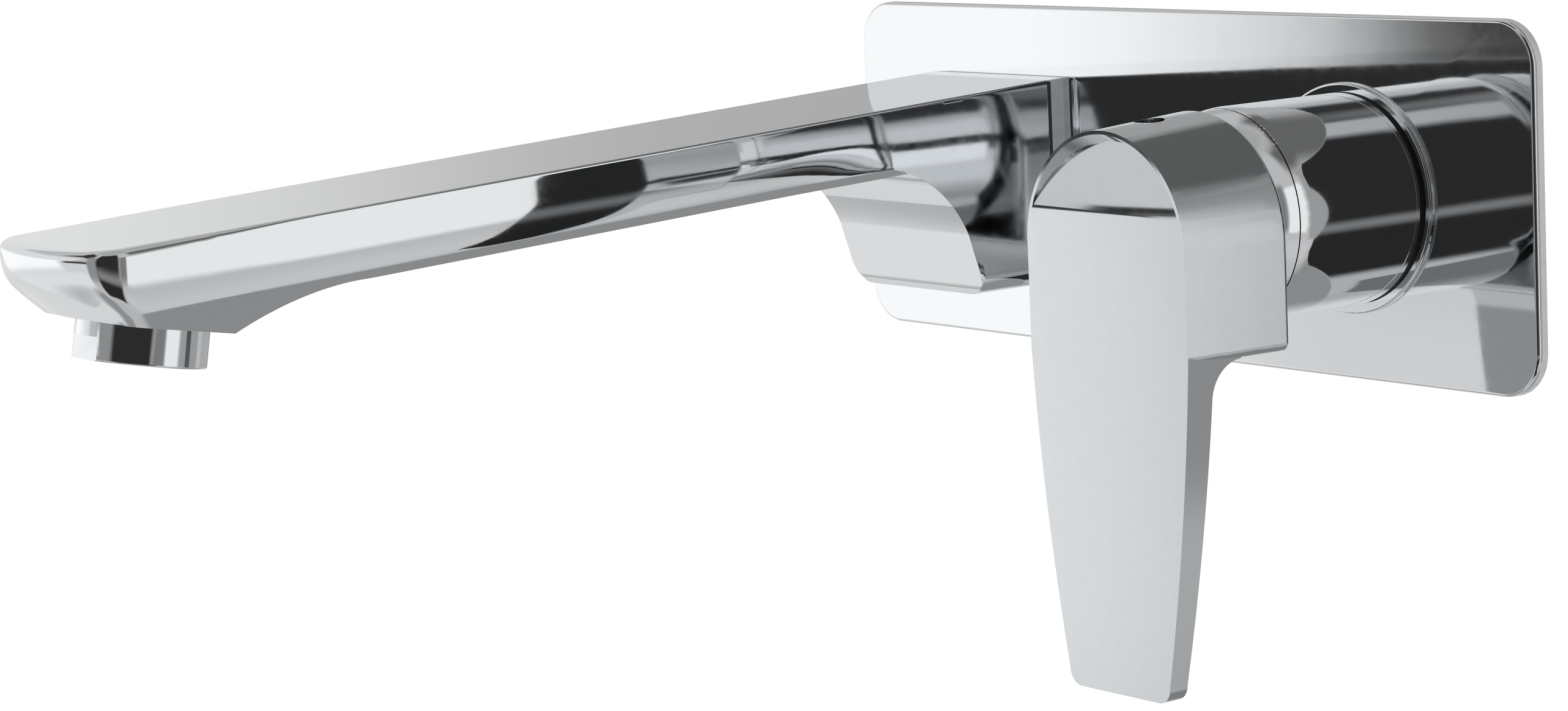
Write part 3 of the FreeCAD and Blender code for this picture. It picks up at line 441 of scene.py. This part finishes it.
# %% How far the skin draws in
EDGE_RADIUS = 0.7
NOSE_EDGE_RADIUS = 2.4
PULL_START = 6.4
NOSE_PULL_START = 3.4
PULL_DEPTH = 1.0
CREASE_SOFT = 0.35
CHIN_SOFT = 3.2
CHIN_SIDE_START = 10.4
CHIN_SIDE_SOFT = 1.4
CHIN_FALL = (BOSS_FRONT - TIP_Y) / (top_at(BOSS_FRONT) - boss_at(BOSS_FRONT) - NOSE_HEIGHT)
CORNER_TIGHTENS = 0.1
CORNER_LEAST = 4.0
NOSE_EASE_FROM = 56
NOSE_EASE_FULL = 8
THROAT_CREASE_EASE = 8
THROAT_PULL_EASE = 28
BOW_RADIUS = (SPOUT_HALF ** 2 + NOSE_BOW ** 2) / (2 * NOSE_BOW)


def soft_turn(value, softness):
    """0 well below zero and the value itself well above, joined by a hyperbola."""
    return (value + math.sqrt(value * value + softness * softness)) / 2


def blend(value, low, high):
    """A smooth step from 0 at low to 1 at high."""
    share = min(max((value - low) / (high - low), 0), 1)
    return share * share * (3 - 2 * share)


def rounding(depth, radius):
    """Inset of a quarter round at the top edge."""
    return radius - math.sqrt(max(radius ** 2 - max(radius - depth, 0) ** 2, 0))


def near_nose(y):
    """0 along the bar and 1 close to the tip."""
    return blend(-y, -TIP_Y - NOSE_EASE_FROM, -TIP_Y - NOSE_EASE_FULL)


def edge_radius(y):
    """The top edge is rounder towards the nose."""
    return EDGE_RADIUS + (NOSE_EDGE_RADIUS - EDGE_RADIUS) * near_nose(y)


def side_inset(depth, y):
    """How far the side face stands in from the bar's full width."""
    start = PULL_START + (NOSE_PULL_START - PULL_START) * near_nose(y)
    share = min(max((depth - start) / (BAR_DEPTH - start), 0), 1)
    soft = CREASE_SOFT * blend(-y, -THROAT_Y, -THROAT_Y + THROAT_CREASE_EASE)
    crease = soft_turn(depth - BAR_DEPTH, soft) - soft_turn(-BAR_DEPTH, soft)
    return (rounding(depth, edge_radius(y)) + KEEL_DRAFT * crease
            + PULL_DEPTH * blend(-y, -THROAT_Y, -THROAT_Y + THROAT_PULL_EASE) * share ** 2)


def chin_inset(depth, front=1.0):
    """How far the nose stands back because of the chin. Towards the sides, where front is 0,
    the chin starts lower and more sharply, to run into the crease."""
    start = NOSE_HEIGHT + (CHIN_SIDE_START - NOSE_HEIGHT) * (1 - front)
    soft = CHIN_SOFT + (CHIN_SIDE_SOFT - CHIN_SOFT) * (1 - front)
    return CHIN_FALL * (soft_turn(depth - start, soft) - soft_turn(-start, soft))


print("chin falls back", round(CHIN_FALL, 2), "mm for each mm down")

# %% [markdown]
# A station is a place on the outline. Along the sides it keeps its y at every depth. Near the
# nose it slides with the corner, because the corner moves back as the chin does.

# %% Stations round the outline
RUN_START = TIP_Y + 30.0
CHIN_FADE = 1.2
FOOT_STEPS, SHIN_STEPS, BAR_STEPS = 5, 6, 18
RUN_STEPS, CORNER_STEPS, BOW_STEPS = 8, 12, 8
THROAT_EXIT_STEP = 3.5
THROAT_EXIT_STEPS = 9


def outline_point(kind, value, depth):
    """Half width and y, in mm, of a station at a depth under the top face."""
    if kind == "side":
        return SPOUT_HALF - side_inset(depth, value), value
    edge = rounding(depth, NOSE_EDGE_RADIUS)
    front = {"run": 0.0, "corner": blend(value, 0, CHIN_FADE),
             "bow": blend(1 + value, 0, CHIN_FADE)}[kind]
    chin = chin_inset(depth, front)
    corner = max(NOSE_CORNER - edge - CORNER_TIGHTENS * chin, CORNER_LEAST)
    half = SPOUT_HALF - side_inset(depth, TIP_Y)
    centre_y = TIP_Y + edge + chin + BOW_RADIUS
    corner_y = centre_y - math.sqrt((BOW_RADIUS - corner) ** 2 - (half - corner) ** 2)
    end_turn = math.asin((half - corner) / (BOW_RADIUS - corner))
    if kind == "run":
        y = RUN_START + (corner_y - RUN_START) * value
        return SPOUT_HALF - side_inset(depth, y), y
    if kind == "corner":
        turn = (math.pi / 2 - end_turn) * value
        return half - corner + corner * math.cos(turn), corner_y - corner * math.sin(turn)
    turn = end_turn * (1 - value)
    return BOW_RADIUS * math.sin(turn), centre_y - BOW_RADIUS * math.cos(turn)


underside = [(ROOT_Y, foot_z), (foot_y, foot_z), (shin_y, shin_top)] + throat[-2::-1] + [
    (THROAT_Y, throat_z)]
side_ys = [ROOT_Y + (foot_y - ROOT_Y) * step / FOOT_STEPS for step in range(FOOT_STEPS + 1)]
side_ys += [foot_y + (shin_y - foot_y) * step / SHIN_STEPS for step in range(1, SHIN_STEPS + 1)]
side_ys += [y for y, _ in throat[-2::-1]] + [THROAT_Y]
side_ys += [THROAT_Y - THROAT_EXIT_STEP * step for step in range(1, THROAT_EXIT_STEPS + 1)]
side_ys += [side_ys[-1] + (swell_y - side_ys[-1]) * step / BAR_STEPS
            for step in range(1, BAR_STEPS + 1)]
side_ys += [y for y, _ in swell[-2::-1]] + [BOSS_BACK, (BOSS_BACK + RUN_START) / 2, RUN_START]
stations = [("side", y) for y in side_ys]
stations += [("run", step / RUN_STEPS) for step in range(1, RUN_STEPS)]
stations += [("corner", step / CORNER_STEPS) for step in range(CORNER_STEPS + 1)]
stations += [("bow", step / BOW_STEPS) for step in range(1, BOW_STEPS + 1)]
print("stations on one side:", len(stations))

# %% [markdown]
# One profile per station, from the top face down. Behind the throat the side runs on down to the
# underside, with a round along the foot; on the bar it ends at the crease and turns in.

# %% Profile of a station
TOP_ROWS = [math.radians(turn) for turn in range(0, 91, 15)]
WALL_ROWS = [row / 16 for row in range(1, 17)]
DROP_ROWS = [1 - (1 - row / 18) ** 1.6 for row in range(1, 19)]
KEEL_ROWS = [0.0, 0.06, 0.15, 0.3, 0.5, 0.75, 1.0]
CREASE_GAP = 0.3


def foot_round(z):
    """Inset of the round along the base's lower edges."""
    short = max(foot_z + BASE_CORNER - z, 0)
    return BASE_CORNER - math.sqrt(max(BASE_CORNER ** 2 - short ** 2, 0))


def depth_to_underside(kind, value):
    """Depth at which a station's profile meets the keel's or boss's underside."""
    low, high = NOSE_HEIGHT, spout_high.z - foot_z
    for _ in range(40):
        depth = (low + high) / 2
        y = outline_point(kind, value, depth)[1]
        if top_at(y) - depth > keel_at(y):
            low = depth
        else:
            high = depth
    return low


def profile(kind, value):
    """Points (half width, y, z) of a station from the top face to the underside."""
    base_drop = 0.0
    if kind == "side" and value > THROAT_Y:
        base_drop = crease_at(value) - along(underside[::-1], value)
    last = BAR_DEPTH + max(base_drop, KEEL_DEPTH) if kind == "side" and value > THROAT_Y \
        else depth_to_underside(kind, value)
    radius = edge_radius(value) if kind == "side" else NOSE_EDGE_RADIUS
    wall_end = BAR_DEPTH - CREASE_GAP
    depths = [radius * (1 - math.cos(turn)) for turn in TOP_ROWS]
    depths += [radius + (wall_end - radius) * row for row in WALL_ROWS] + [BAR_DEPTH]
    points = []
    for depth in depths:
        half, y = outline_point(kind, value, depth)
        points.append((half, y, top_at(y) - depth))
    half, y, z = points[-1]
    for row in DROP_ROWS:
        level = z - base_drop * row
        points.append((half - foot_round(level), y, level))
    for row in KEEL_ROWS:
        depth = BAR_DEPTH + base_drop + (last - BAR_DEPTH - base_drop) * row
        if base_drop:
            level = top_at(y) - depth
            inset = KEEL_DRAFT * min(depth - BAR_DEPTH, KEEL_DEPTH) + foot_round(level)
            points.append((half - inset, y, level))
        else:
            half_here, y_here = outline_point(kind, value, depth)
            points.append((half_here, y_here, top_at(y_here) - depth))
    return points


profiles = [profile(*station) for station in stations]
print("points in a profile:", len(profiles[0]))

# %% [markdown]
# The grid closes itself: strips across the top and the underside join each station to its
# mirror twin, and one face closes the end at the plate. The edges that stay sharp, along the
# throat and the keel's foot, are marked for a small buffed radius.

# %% Lay the spout's skin
BUFFED_EDGE = 0.45
THROAT_EDGE_PAST = 2.0
GRID_WELD = 0.001 * MM
LEAST_EDGE = 0.0005 * MM


def lay_spout():
    """The spout's closed skin, with a bevel weight on the edges that get a buffed radius."""
    work = bmesh.new()
    sharp = work.edges.layers.float.new("bevel_weight_edge")
    ring = [(1, column) for column in profiles] + [(-1, column) for column in profiles[-2::-1]]
    grid = [[work.verts.new(Vector((SPOUT_X + side * half, y, z)) * MM) for half, y, z in column]
            for side, column in ring]
    for here, ahead in zip(grid, grid[1:]):
        for row in range(len(here) - 1):
            work.faces.new((here[row], ahead[row], ahead[row + 1], here[row + 1]))
    count = len(grid)
    for place in range((count - 1) // 2):
        twin = count - 1 - place
        for row in (0, -1):
            corners = [grid[place][row], grid[place + 1][row], grid[twin - 1][row], grid[twin][row]]
            work.faces.new(list(dict.fromkeys(corners)))
    work.faces.new(grid[0] + grid[-1][::-1])
    drop_end = len(TOP_ROWS) + len(WALL_ROWS) + len(DROP_ROWS)
    for here, ahead, (_, column) in zip(grid, grid[1:], ring):
        behind_throat = column[-1][1] > THROAT_Y + THROAT_EDGE_PAST
        edge = work.edges.get((here[drop_end], ahead[drop_end]) if behind_throat
                              else (here[-1], ahead[-1]))
        edge[sharp] = 1.0
    bmesh.ops.remove_doubles(work, verts=work.verts, dist=GRID_WELD)
    bmesh.ops.dissolve_degenerate(work, edges=work.edges, dist=LEAST_EDGE)
    bmesh.ops.recalc_face_normals(work, faces=work.faces)
    return work


spout = finish_polished(lay_spout(), "spout_polished", BUFFED_EDGE, None, polished_chrome)
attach(spout, body_of["spout_body"])
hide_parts("spout_body")
open_edges = bmesh.new()
open_edges.from_mesh(spout.data)
print("spout faces:", len(spout.data.polygons), "open edges:",
      sum(not edge.is_manifold for edge in open_edges.edges))
open_edges.free()

# %% [markdown]
# The other polished pieces are right as they stand and only need their edges eased.

# %% Plate, lever, sleeve, dome, collar and aerator housing
EASED_ABOVE_DEG = 24
polished_pieces = {
    "backplate": ("plate_polished", 0.0, polished_chrome),
    "handle": ("lever_polished", 0.35, lever_chrome),
    "sleeve": ("sleeve_polished", 0.15, polished_chrome),
    "dome": ("dome_polished", 0.15, polished_chrome),
    "valve_collar": ("collar_polished", 0.0, polished_chrome),
    "aerator_housing": ("aerator_housing_polished", 0.15, polished_chrome),
}
for node_name, (piece_name, edge_mm, finish) in polished_pieces.items():
    piece = finish_polished(merged_copy(node_name), piece_name, edge_mm, EASED_ABOVE_DEG,
                            finish)
    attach(piece, body_of[node_name])
    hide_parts(node_name)
    print(piece_name, len(piece.data.polygons), "faces before its bevel")

# %% [markdown]
# Two details repeat by a rule, so Geometry Nodes make them: the screw thread inside the two
# inlets, which is one ridge wound on a spiral, and the soft rims round the aerator's jets, which
# are one ring set on points. Each tree has its sizes as named inputs. The result is turned into
# a plain mesh.

# %% Helpers for Geometry Nodes
def start_tree(name, sizes):
    """A tree with one named input for each size. Returns it with its inputs by name."""
    tree = bpy.data.node_groups.new(name, "GeometryNodeTree")
    tree.interface.new_socket("Geometry", in_out="OUTPUT", socket_type="NodeSocketGeometry")
    for label, kind in sizes.items():
        tree.interface.new_socket(label, in_out="INPUT", socket_type=kind)
    return tree, add(tree, "NodeGroupInput").outputs


def end_tree(tree, shape, finish):
    """Ends a tree: instances made real, then the finish."""
    real = add(tree, "GeometryNodeRealizeInstances", {"Geometry": shape})
    done = add(tree, "GeometryNodeSetMaterial", {"Geometry": real.outputs["Geometry"],
                                                 "Material": finish})
    add(tree, "NodeGroupOutput", {"Geometry": done.outputs["Geometry"]})


def grow(tree, piece_name, values, placing):
    """Runs a tree with these values and returns its result as a plain object."""
    seed = bpy.data.objects.new(piece_name + "_seed", bpy.data.meshes.new(piece_name + "_seed"))
    bpy.context.scene.collection.objects.link(seed)
    modifier = seed.modifiers.new("grow", "NODES")
    modifier.node_group = tree
    for item in tree.interface.items_tree:
        if item.in_out == "INPUT":
            modifier[item.identifier] = values[item.name]
    seed.update_tag()
    graph = bpy.context.evaluated_depsgraph_get()
    mesh = bpy.data.meshes.new_from_object(seed.evaluated_get(graph), depsgraph=graph)
    bpy.data.objects.remove(seed)
    mesh.name = piece_name
    mesh.transform(placing)
    piece = bpy.data.objects.new(piece_name, mesh)
    bpy.context.scene.collection.objects.link(piece)
    print(piece_name, len(mesh.polygons), "faces")
    return piece


# %% [markdown]
# The inlets take half-inch pipe, whose thread climbs 1.8 mm in a turn. The ridge is wound just
# inside the bore that the model leaves, so that its foot is in the brass and its crest stands in.

# %% Inlet threads
tree, sizes = start_tree("pipe_thread", {
    "Turns": "NodeSocketFloat", "Radius": "NodeSocketFloat", "Length": "NodeSocketFloat",
    "Ridge": "NodeSocketFloat", "First": "NodeSocketVector", "Spacing": "NodeSocketVector"})
wind = add(tree, "GeometryNodeCurveSpiral", {
    "Resolution": 28, "Rotations": sizes["Turns"], "Start Radius": sizes["Radius"],
    "End Radius": sizes["Radius"], "Height": sizes["Length"]})
section = add(tree, "GeometryNodeCurvePrimitiveCircle", {"Resolution": 4,
                                                         "Radius": sizes["Ridge"]})
ridge = add(tree, "GeometryNodeCurveToMesh", {
    "Curve": wind.outputs["Curve"], "Profile Curve": section.outputs["Curve"],
    "Fill Caps": True})
pair = add(tree, "GeometryNodeMeshLine", {"Count": 2, "Start Location": sizes["First"],
                                          "Offset": sizes["Spacing"]})
both_threads = add(tree, "GeometryNodeInstanceOnPoints", {
    "Points": pair.outputs["Mesh"], "Instance": ridge.outputs["Mesh"]})
end_tree(tree, both_threads.outputs["Instances"], brass)

THREAD_PITCH = 1.814
THREAD_RIDGE = 0.65
mounts = {mount["name"]: mount for mount in frame["record"]["mounts"]}
hot, cold = (Vector(mounts[name]["pos_m"]) for name in ("hot_inlet", "cold_inlet"))
bore = mounts["hot_inlet"]["dims"]
first = hot - Vector((0, 0, bore["length_mm"] / 2 * MM))
threads = grow(tree, "inlet_threads", {
    "Turns": bore["length_mm"] / THREAD_PITCH, "Radius": bore["r_mm"] * MM,
    "Length": bore["length_mm"] * MM, "Ridge": THREAD_RIDGE * MM,
    "First": tuple(first), "Spacing": tuple(cold - hot)}, Matrix())
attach(threads, body_of["valve_body"])

# %% [markdown]
# Under the outlet one sees the aerator's face: a jet in the middle and two circles of jets, each
# with a soft raised rim that lets lime be rubbed off with a finger.

# %% Jet rims
tree, sizes = start_tree("jet_rims", {
    "Circle": "NodeSocketFloat", "Rim Radius": "NodeSocketFloat", "Rim Wall": "NodeSocketFloat"})
double = add(tree, "ShaderNodeMath", {0: sizes["Circle"], 1: 2.0}, operation="MULTIPLY")
middle = add(tree, "GeometryNodePoints", {"Count": 1})
inner = add(tree, "GeometryNodeMeshCircle", {"Vertices": 6, "Radius": sizes["Circle"]})
outer = add(tree, "GeometryNodeMeshCircle", {"Vertices": 12, "Radius": double.outputs["Value"]})
places = add(tree, "GeometryNodeJoinGeometry")
for output_socket in (middle.outputs[0], inner.outputs["Mesh"], outer.outputs["Mesh"]):
    tree.links.new(output_socket, places.inputs["Geometry"])
circle = add(tree, "GeometryNodeCurvePrimitiveCircle", {"Resolution": 24,
                                                        "Radius": sizes["Rim Radius"]})
wall = add(tree, "GeometryNodeCurvePrimitiveCircle", {"Resolution": 8,
                                                      "Radius": sizes["Rim Wall"]})
rim = add(tree, "GeometryNodeCurveToMesh", {"Curve": circle.outputs["Curve"],
                                            "Profile Curve": wall.outputs["Curve"]})
rims = add(tree, "GeometryNodeInstanceOnPoints", {
    "Points": places.outputs["Geometry"], "Instance": rim.outputs["Mesh"]})
end_tree(tree, rims.outputs["Instances"], acetal)

JET_CIRCLE = 3.4
JET_RADIUS = 0.9
RIM_WALL = 0.28
FACE_UP = -7.0
outlet = Matrix.Translation(Vector((SPOUT_X, OUTLET_Y, boss_at(OUTLET_Y))) * MM)
outlet = outlet @ Matrix.Rotation(-math.atan(OUTLET_TILT), 4, "X")
jet_rims = grow(tree, "aerator_jet_rims", {
    "Circle": JET_CIRCLE * MM, "Rim Radius": (JET_RADIUS + RIM_WALL) * MM,
    "Rim Wall": RIM_WALL * MM}, outlet @ Matrix.Translation((0, 0, FACE_UP * MM)))
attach(jet_rims, body_of["aerator_insert"])
for polygon in [*threads.data.polygons, *jet_rims.data.polygons]:
    polygon.use_smooth = True

# %% [markdown]
# The studio: a pale floor far below, a pale room for the camera to see, and for the chrome a
# light tent with one open side. The open side is where the camera stands, and it is what puts
# the dark bands into the polished faces.

# %% Floor
floor_mesh = bpy.data.meshes.new("floor")
FLOOR_HALF = 9.0
FLOOR_Z = -2.4
floor_mesh.from_pydata([(-FLOOR_HALF, -FLOOR_HALF, FLOOR_Z), (FLOOR_HALF, -FLOOR_HALF, FLOOR_Z),
                        (FLOOR_HALF, FLOOR_HALF, FLOOR_Z), (-FLOOR_HALF, FLOOR_HALF, FLOOR_Z)],
                       [], [(0, 1, 2, 3)])
floor = bpy.data.objects.new("floor", floor_mesh)
bpy.context.scene.collection.objects.link(floor)
floor_paint, tree, output = new_material("floor_pale_paint")
shader = add(tree, "ShaderNodeBsdfPrincipled",
             {"Base Color": linear("f2f2f2"), "Roughness": 0.9,
              "Emission Color": (1, 1, 1, 1), "Emission Strength": 0.75})
tree.links.new(shader.outputs["BSDF"], output.inputs["Surface"])
floor_mesh.materials.append(floor_paint)
floor.visible_glossy = False
floor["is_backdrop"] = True
print("floor at", FLOOR_Z, "m")


# %% [markdown]
# Chrome has hardly a colour of its own: it shows the room. So the room is laid out as a studio
# lays it out, by direction from the object: white screens where a face should be bright, black
# flags where it should be dark. Each is a soft-edged patch of the sky, given by its azimuth
# from +X towards +Y and its height, in degrees. The camera itself sees only an even pale wall.

# %% Light tent
TENT_BASE = 0.55
# name: (brightness, azimuth from, to, height from, to, softness of the edge)
tent_panels = {
    "ground": (0.52, -200, 200, -100, -64, 6),
    "low_left_screen": (0.82, -200, -112, -34, -15, 5),
    "low_left_shade": (0.30, -200, -112, -66, -42, 6),
    "left_screen": (1.10, -190, -136.2, -15, 6, 3.2),
    "left_screen_end": (0.72, -136, -112, -16, -7.5, 1.5),
    "left_dark_end": (0.05, -134, -104, -5.5, 4, 1.5),
    "left_upper_screen": (0.80, -190, -130, 3, 24, 3),
    "left_flag": (0.04, -150, -100, 30, 60, 3),
    "back_screen": (0.44, 95, 147, -20, 35, 5),
    "back_screen_left": (0.80, 150, 200, -20, 35, 5),
    "back_low_flag": (0.12, 138, 160, -14, -1, 3),
    "low_back_screen": (0.74, 128, 200, -60, -17, 4),
    "front_grey": (0.30, -112, -76, -22, 42, 6),
    "camera_flag": (0.028, -80, -10, -13, 62, 5),
    "corner_grey": (0.22, -8, 12, -14, 30, 4),
    "right_softbox": (0.92, 13, 37, -15, 26, 2),
    "right_low_screen": (0.62, 8, 44, -40, -22, 6),
    "camera_low_flag": (0.025, -80, -4, -50, -15, 5),
    "right_back_grey": (0.36, 40, 82, -20, 34, 2),
    "keel_grey": (0.29, 50, 120, -70, -30, 8),
    "roof_flag": (0.14, 30, 128, 36, 62, 7),
    "roof": (0.42, -200, 200, 66, 100, 9),
}


def soft_band(tree, value, low, high, soft):
    """1 between low and high, falling off smoothly over the softness on both sides."""
    rise = add(tree, "ShaderNodeMapRange", {"Value": value, "From Min": low - soft,
                                            "From Max": low + soft},
               interpolation_type="SMOOTHSTEP")
    fall = add(tree, "ShaderNodeMapRange", {"Value": value, "From Min": high - soft,
                                            "From Max": high + soft, "To Min": 1.0,
                                            "To Max": 0.0},
               interpolation_type="SMOOTHSTEP")
    return add(tree, "ShaderNodeMath", {0: rise.outputs["Result"], 1: fall.outputs["Result"]},
               operation="MULTIPLY").outputs["Value"]


def hang_tent(world):
    """Builds the tent's brightness by direction as the world's shader."""
    world.use_nodes = True
    tree = world.node_tree
    tree.nodes.clear()
    output = add(tree, "ShaderNodeOutputWorld")
    way = add(tree, "ShaderNodeTexCoord").outputs["Generated"]
    axes = add(tree, "ShaderNodeSeparateXYZ", {"Vector": way})
    around = add(tree, "ShaderNodeMath", {0: axes.outputs["Y"], 1: axes.outputs["X"]},
                 operation="ARCTAN2")
    azimuth = add(tree, "ShaderNodeMath", {0: around.outputs["Value"]},
                  operation="DEGREES").outputs["Value"]
    rise = add(tree, "ShaderNodeMath", {0: axes.outputs["Z"]}, operation="ARCSINE")
    height = add(tree, "ShaderNodeMath", {0: rise.outputs["Value"]},
                 operation="DEGREES").outputs["Value"]
    brightness = add(tree, "ShaderNodeValue", label="tent base")
    brightness.outputs["Value"].default_value = TENT_BASE
    so_far = brightness.outputs["Value"]
    for name, (value, left, right, low, high, soft) in tent_panels.items():
        across = soft_band(tree, azimuth, left, right, soft)
        upright = soft_band(tree, height, low, high, soft)
        mask = add(tree, "ShaderNodeMath", {0: across, 1: upright}, operation="MULTIPLY")
        layer = add(tree, "ShaderNodeMix", {"Factor": mask.outputs["Value"], "A": so_far,
                                            "B": value}, data_type="FLOAT", label=name)
        so_far = layer.outputs["Result"]
    seen = add(tree, "ShaderNodeLightPath")
    both = add(tree, "ShaderNodeMix", {"Factor": seen.outputs["Is Camera Ray"], "A": so_far,
                                       "B": 1.0}, data_type="FLOAT")
    light = add(tree, "ShaderNodeBackground", {"Color": both.outputs["Result"], "Strength": 1.0})
    tree.links.new(light.outputs["Background"], output.inputs["Surface"])


world = bpy.data.worlds.new("light_tent")
bpy.context.scene.world = world
hang_tent(world)
print("tent panels:", len(tent_panels))

# %% [markdown]
# A long lens from the right keeps the plate's edges nearly parallel. The camera is placed by its
# position and three angles: the way it looks, how far down it looks, and its small roll.

# %% Camera
SENSOR_MM = 36.0
LENS_MM = 92.72
CAMERA_PLACE = Vector((0.68072, -0.63437, 0.10013))
AZIMUTH = math.radians(52.757)
ELEVATION = math.radians(8.35)
ROLL = math.radians(-2.73)
ahead = Vector((-math.sin(AZIMUTH) * math.cos(ELEVATION), math.cos(AZIMUTH) * math.cos(ELEVATION),
                -math.sin(ELEVATION)))
right = ahead.cross(Vector((0, 0, 1))).normalized()
up = right.cross(ahead)
view_x = right * math.cos(ROLL) + up * math.sin(ROLL)
view_y = up * math.cos(ROLL) - right * math.sin(ROLL)
camera_data = bpy.data.cameras.new("camera")
camera_data.sensor_width = SENSOR_MM
camera_data.lens = LENS_MM
camera_data.clip_start = 0.01
camera = bpy.data.objects.new("camera", camera_data)
camera.matrix_world = Matrix.Translation(CAMERA_PLACE) @ Matrix(
    (view_x, view_y, -ahead)).transposed().to_4x4()
bpy.context.scene.collection.objects.link(camera)
bpy.context.scene.camera = camera
bpy.context.scene.view_settings.view_transform = "Standard"
print("camera:", camera_data.lens, "mm at", [round(v, 3) for v in CAMERA_PLACE])

# %% [markdown]
# The model's box and the box of what is shown are set side by side. The finished pieces already
# ride on the bodies that they were attached to. The looks may not change the model's size.

# %% Sizes
sizes = {"cad": cad_box, "visual": [list(corner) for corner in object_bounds()]}
print("visual box:", sizes["visual"])
